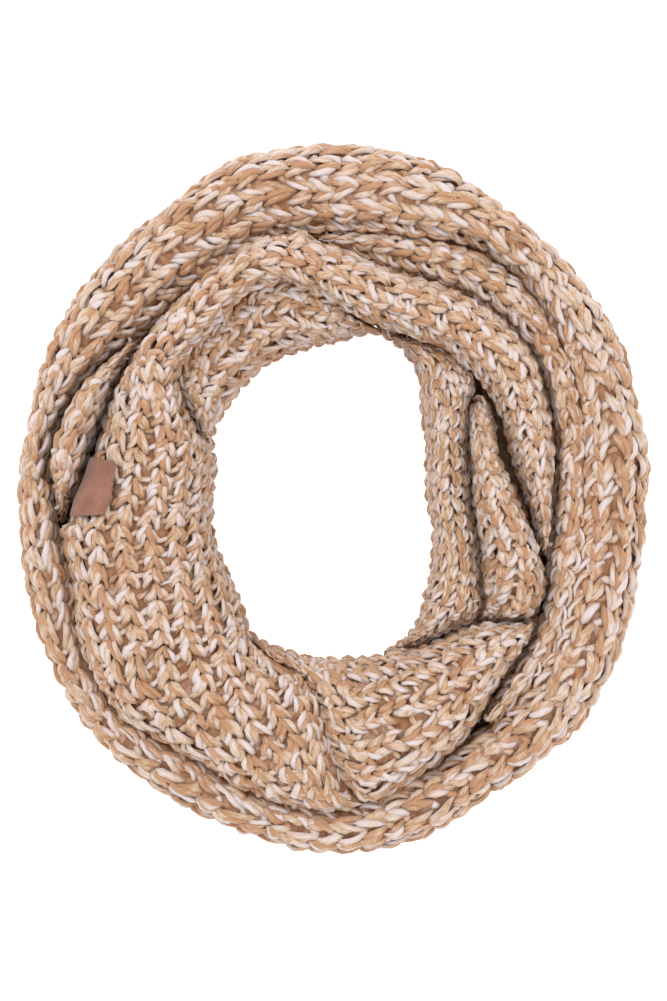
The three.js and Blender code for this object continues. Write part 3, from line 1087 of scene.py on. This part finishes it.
def math_node(nodes, links, operation, first, second=None, third=None, clamp=False):
    node = nodes.new("ShaderNodeMath")
    node.operation = operation
    node.use_clamp = clamp
    for socket, value in zip(node.inputs, (first, second, third)):
        if isinstance(value, bpy.types.NodeSocket):
            links.new(value, socket)
        elif value is not None:
            socket.default_value = value
    return node.outputs[0]


def colour_ramp(nodes, links, factor, stops):
    node = nodes.new("ShaderNodeValToRGB")
    ramp = node.color_ramp
    while len(ramp.elements) < len(stops):
        ramp.elements.new(0.5)
    for element, (position, colour) in zip(ramp.elements, stops):
        element.position = position
        element.color = (*colour, 1)
    links.new(factor, node.inputs["Fac"])
    return node.outputs["Color"]


def bump_node(nodes, links, height, strength, distance_mm, shader):
    node = nodes.new("ShaderNodeBump")
    node.inputs["Strength"].default_value = strength
    node.inputs["Distance"].default_value = distance_mm * MM
    links.new(height, node.inputs["Height"])
    links.new(node.outputs["Normal"], shader.inputs["Normal"])


def yarn_material():
    """Marled yarn: cream and tan strands of fine loose fibres, streaked along the strand."""
    material, nodes, links, shader = new_material("marled_yarn")
    fibre = attribute_node(nodes, "fibre").outputs["Vector"]
    tone = attribute_node(nodes, "tone").outputs["Fac"]
    streaks = noise_node(nodes, links, fibre, 3.2, 3.0, 0.62).outputs["Fac"]
    fine = noise_node(nodes, links, fibre, 11.0, 2.0, 0.6).outputs["Fac"]
    patches = math_node(nodes, links, "MULTIPLY_ADD", streaks, 2.1, -1.05)
    blended = math_node(nodes, links, "ADD", tone, patches, clamp=True)
    darker = math_node(nodes, links, "SUBTRACT", blended, 0.2)
    blended = math_node(nodes, links, "MULTIPLY_ADD", fine, 0.4, darker)
    colour = colour_ramp(nodes, links, blended, [
        (0.0, (0.4, 0.208, 0.11)),
        (0.3, (0.505, 0.335, 0.215)),
        (0.65, (0.57, 0.44, 0.365)),
        (1.0, (0.595, 0.51, 0.5)),
    ])
    links.new(colour, shader.inputs["Base Color"])
    shader.inputs["Roughness"].default_value = 0.72
    shader.inputs["Specular IOR Level"].default_value = 0.32
    shader.inputs["Sheen Weight"].default_value = 0.2
    shader.inputs["Sheen Roughness"].default_value = 0.5
    shader.inputs["Sheen Tint"].default_value = (1.0, 0.86, 0.75, 1)
    height = math_node(nodes, links, "MULTIPLY_ADD", fine, 0.5, streaks)
    bump_node(nodes, links, height, 0.6, 0.6, shader)
    return material


def ground_material():
    """The cloth between the stitches: the same yarn in shade, with small loops in its surface."""
    material, nodes, links, shader = new_material("knit_ground")
    place = nodes.new("ShaderNodeTexCoord").outputs["Object"]
    patches = noise_node(nodes, links, place, 320.0, 3.0, 0.6).outputs["Fac"]
    loops = nodes.new("ShaderNodeTexVoronoi")
    loops.inputs["Scale"].default_value = 230.0
    links.new(place, loops.inputs["Vector"])
    loop_tone = nodes.new("ShaderNodeSeparateColor")
    links.new(loops.outputs["Color"], loop_tone.inputs["Color"])
    patch_share = math_node(nodes, links, "MULTIPLY", patches, 0.65)
    mixed = math_node(nodes, links, "MULTIPLY_ADD", loop_tone.outputs["Red"], 0.35, patch_share)
    colour = colour_ramp(nodes, links, mixed, [
        (0.25, (0.25, 0.11, 0.055)),
        (0.5, (0.34, 0.175, 0.095)),
        (0.75, (0.5, 0.34, 0.25)),
    ])
    links.new(colour, shader.inputs["Base Color"])
    shader.inputs["Roughness"].default_value = 0.9
    shader.inputs["Specular IOR Level"].default_value = 0.2
    bump_node(nodes, links, loops.outputs["Distance"], 0.8, 1.6, shader)
    return material


def suede_material():
    """Brushed suede of a pinkish brown, mottled, with a faint nap."""
    material, nodes, links, shader = new_material("label_suede")
    place = nodes.new("ShaderNodeTexCoord").outputs["Object"]
    cloud = noise_node(nodes, links, place, 90.0, 4.0, 0.6).outputs["Fac"]
    grain = noise_node(nodes, links, place, 1500.0, 3.0, 0.65).outputs["Fac"]
    cloud_share = math_node(nodes, links, "MULTIPLY", cloud, 0.5)
    mixed = math_node(nodes, links, "MULTIPLY_ADD", grain, 0.5, cloud_share)
    colour = colour_ramp(nodes, links, mixed, [
        (0.38, (0.185, 0.082, 0.054)),
        (0.5, (0.24, 0.108, 0.073)),
        (0.62, (0.3, 0.145, 0.1)),
    ])
    links.new(colour, shader.inputs["Base Color"])
    shader.inputs["Roughness"].default_value = 0.85
    shader.inputs["Specular IOR Level"].default_value = 0.25
    shader.inputs["Sheen Weight"].default_value = 0.3
    shader.inputs["Sheen Roughness"].default_value = 0.4
    bump_node(nodes, links, grain, 0.5, 0.15, shader)
    return material


def floor_material():
    material, _, _, shader = new_material("pale_floor")
    shader.inputs["Base Color"].default_value = (0.9, 0.9, 0.9, 1)
    shader.inputs["Roughness"].default_value = 0.9
    shader.inputs["Emission Color"].default_value = (1, 1, 1, 1)
    shader.inputs["Emission Strength"].default_value = 0.6
    return material


YARN = yarn_material()
GROUND = ground_material()
SUEDE = suede_material()


# The stretches of cloth

rng = np.random.default_rng(SEED)


def stretch_reach(surface):
    """How far the stitches go either way from the crest: a little into a crease, or nearly to the foot."""
    into_crease = surface.crest - np.maximum(surface.inner_leg - CREASE_REACH, 0) - 1.0
    low = -np.where(surface.faces_hole > 0.4, surface.crest - 4.0, into_crease)
    outward = surface.length - surface.crest
    out_of_crease = outward - np.maximum(surface.outer_leg - CREASE_REACH, 0) - 1.0
    high = np.where(surface.faces_outside > 0.4, outward - 4.0, out_of_crease)
    return (lambda angle: surface.at_angle(low, angle)), (lambda angle: surface.at_angle(high, angle))


def flat_size(surface):
    """The cut of a stretch: its mean width along the section by its length along the crest."""
    width = float(surface.length.mean())
    line, _ = surface.place(surface.angles, np.zeros(len(surface.angles)))
    length = float(np.linalg.norm(np.diff(line, axis=0), axis=1).sum())
    return width * MM, length * MM


def make_stretch(name, stretch):
    """One stretch of cloth: its thin shell, and the stitches over it."""
    closed = stretch.get("closed", False)
    surface = Surface(stretch["span"], lambda angle: arch_profile(stretch, angle), closed)
    shell = cloth_shell(name + "_cloth", surface, GROUND)
    reach_in, reach_out = stretch_reach(surface)
    yarn = knit_piece(name + "_stitches", surface, stretch["ribs"], YARN, rng, reach_in, reach_out)
    for piece in (shell, yarn):
        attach(piece, "root")
    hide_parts(name)
    flat_size(surface)
    return surface


SURFACES = {name: make_stretch(name, stretch) for name, stretch in STRETCHES.items()}


# The hidden layers: a flat-bottomed ring of cloth whose two lower layers show at its edges

# The rim's places from the table up, each the way in from the edge and the height, then where it goes under
RIM = [(6.0, 0.0), (3.2, 3.6), (5.4, 7.2), (3.4, 10.8)]
ABOVE_RIM = [(6.5, 14.0), (9.5, 17.5)]
TOP_SHARES = (0.05, 0.1, 0.17, 0.27, 0.5, 0.73, 0.83, 0.9, 0.95)
# The rim's yarn stands out from its solid by the first of these, and its ground lies in by the second.
RIM_OUT = 2.6
RIM_IN = 2.2
RIM_MARGIN = 2.0
RIM_PITCH = 8.7
HIDDEN_ANGLES = 144
HIDDEN_PLACES = 56


def hidden_profile(angle):
    """The hidden layers' section at each angle, all round and back to its start, along the table first."""
    hole = hole_radius(angle)
    outside = outside_radius(angle)
    middle = (hole + outside) / 2
    places = [(middle, 0.0)]
    places += [(hole + inset, height) for inset, height in RIM]
    places += [(hole + share * (outside - hole), hidden_top(share)) for share in TOP_SHARES]
    places += [(outside - inset, height) for inset, height in reversed(RIM)]
    places += [(middle, 0.0)]
    no_crease = np.zeros(len(middle))
    return section_of(places), no_crease, no_crease


def hole_rim_profile(angle):
    """The edge of the hidden layers at the hole, from the table up."""
    edge = hole_radius(angle) - RIM_OUT
    no_crease = np.zeros(len(edge))
    return section_of([(edge + inset, height) for inset, height in RIM + ABOVE_RIM]), no_crease, no_crease


def outside_rim_profile(angle):
    """The edge of the hidden layers on the outside, down to the table."""
    edge = outside_radius(angle) + RIM_OUT
    no_crease = np.zeros(len(edge))
    places = [(edge - inset, height) for inset, height in reversed(RIM + ABOVE_RIM)]
    return section_of(places), no_crease, no_crease


def make_hidden_layers():
    """A shell of cloth round the whole section, and two columns of stitches along either edge."""
    surface = Surface((0, 360), hidden_profile, closed=True, crest_point=0)
    angles = np.linspace(0, 360, HIDDEN_ANGLES, endpoint=False)
    share = np.linspace(0, 1, HIDDEN_PLACES, endpoint=False)
    length = surface.at_angle(surface.length, angles)[:, None]
    points, normals = surface.place(np.repeat(angles[:, None], len(share), axis=1), share * length)
    points[..., :2] -= RIM_IN * normals[..., :2]
    inside = points - normals * GROUND_THICKNESS
    rows, columns = points.shape[:2]
    quads = grid_quads(rows, columns, True, True)
    both_sides = np.concatenate([points.reshape(-1, 3), inside.reshape(-1, 3)])
    both_quads = np.concatenate([quads[:, ::-1], quads + rows * columns])
    shell = mesh_object("hidden_layers_cloth", both_sides, both_quads, NO_TRIANGLES, GROUND)
    trims = []
    # The last number is where the first column of stitches lies, from the rim's third place.
    for title, profile, first in (("outside", outside_rim_profile, -0.7), ("hole", hole_rim_profile, -3.9)):
        rim = Surface((0, 360), profile, closed=True, crest_point=2)
        ribs = even_ribs(first, RIM_PITCH)
        low = RIM_MARGIN - rim.crest
        high = rim.length - rim.crest - RIM_MARGIN
        trims.append(knit_piece(
            f"hidden_layers_{title}_stitches", rim, ribs, YARN, rng,
            lambda angle: rim.at_angle(low, angle), lambda angle: rim.at_angle(high, angle)))
    for piece in (shell, *trims):
        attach(piece, "root")
    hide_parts("hidden_layers")
    mean_radius = float((hole_radius(angles) + outside_radius(angles)).mean()) / 2


make_hidden_layers()


# The label: a suede tab folded over the front loop's outer edge

LABEL = table("angle inner foot", [
    [170, 108.4, 52],
    [172, 107.2, 52],
    [180, 108.4, 53],
    [184, 112.0, 56],
])
LABEL_SPAN = (170.2, 183.8)
LABEL_ROWS = 25
LABEL_COLUMNS = 21
LABEL_LIFT = 0.6
LABEL_THICKNESS = 1.2
SECTION_SEARCH = 300


def make_label():
    """The tab, which lies on the front loop from its inner end over the crest and down to its foot."""
    surface = SURFACES["front_loop"]
    angles = np.linspace(*LABEL_SPAN, LABEL_ROWS)
    crest = surface.at_angle(surface.crest, angles)
    length = surface.at_angle(surface.length, angles)
    rows = []
    ups = []
    for angle, start, way in zip(angles, crest, length):
        offsets = np.linspace(-start, way - start, SECTION_SEARCH)
        points, normals = surface.place(np.full(SECTION_SEARCH, angle), offsets)
        radius = np.hypot(points[:, 0], points[:, 1])
        first = int(np.argmax(radius >= LABEL("inner", angle)))
        past = np.arange(SECTION_SEARCH) > first
        last = int(np.argmax(past & (points[:, 2] < LABEL("foot", angle))))
        pick = np.linspace(first, last, LABEL_COLUMNS).round().astype(int)
        rows.append(points[pick])
        ups.append(normals[pick])
    points = np.array(rows)
    normals = np.array(ups)
    upper = points + normals * (LABEL_LIFT + LABEL_THICKNESS)
    lower = points + normals * LABEL_LIFT
    tab = closed_section_mesh("label_tab", upper, lower, False, SUEDE)
    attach(tab, "root")
    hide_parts("label")


make_label()


# The floor, the lights and the camera

def make_floor():
    mesh = bpy.data.meshes.new("floor")
    half = 6.0
    corners = [(-half, -half, 0), (half, -half, 0), (half, half, 0), (-half, half, 0)]
    mesh.from_pydata(corners, [], [(0, 1, 2, 3)])
    mesh.materials.append(floor_material())
    new_object("floor", mesh)


def area_light(name, place, size, watts):
    light = bpy.data.lights.new(name, "AREA")
    light.shape = "DISK"
    light.size = size
    light.energy = watts
    lamp = new_object(name, light)
    lamp.location = place
    direction = -lamp.location.normalized()
    lamp.rotation_euler = direction.to_track_quat("-Z", "Y").to_euler()


def make_lights():
    area_light("key", (-0.9, 1.0, 1.7), 0.9, 22)
    area_light("fill", (1.3, 0.2, 1.6), 1.4, 12)
    area_light("low", (0.2, -1.5, 1.3), 1.4, 8)
    world = bpy.data.worlds.new("studio")
    world.use_nodes = True
    background = world.node_tree.nodes["Background"]
    background.inputs["Color"].default_value = (1, 1, 1, 1)
    background.inputs["Strength"].default_value = 0.9
    bpy.context.scene.world = world
    bpy.context.scene.view_settings.view_transform = "Standard"


def make_camera():
    """A camera straight above, placed so that the ring falls where it does in the photograph."""
    data = bpy.data.cameras.new("camera")
    frame_height = PHOTO_PIXELS[1] * PIXEL_MM
    data.sensor_width = SENSOR_MM
    data.lens = SENSOR_MM * CAMERA_DISTANCE / frame_height
    data.clip_end = 20
    camera = new_object("camera", data)
    across = (PHOTO_PIXELS[0] / 2 - RING_MIDDLE_PIXEL[0]) * PIXEL_MM
    up = (RING_MIDDLE_PIXEL[1] - PHOTO_PIXELS[1] / 2) * PIXEL_MM
    camera.location = (across * MM, up * MM, (CAMERA_DISTANCE + OUTLINE_HEIGHT) * MM)
    bpy.context.scene.camera = camera


make_floor()
make_lights()
make_camera()
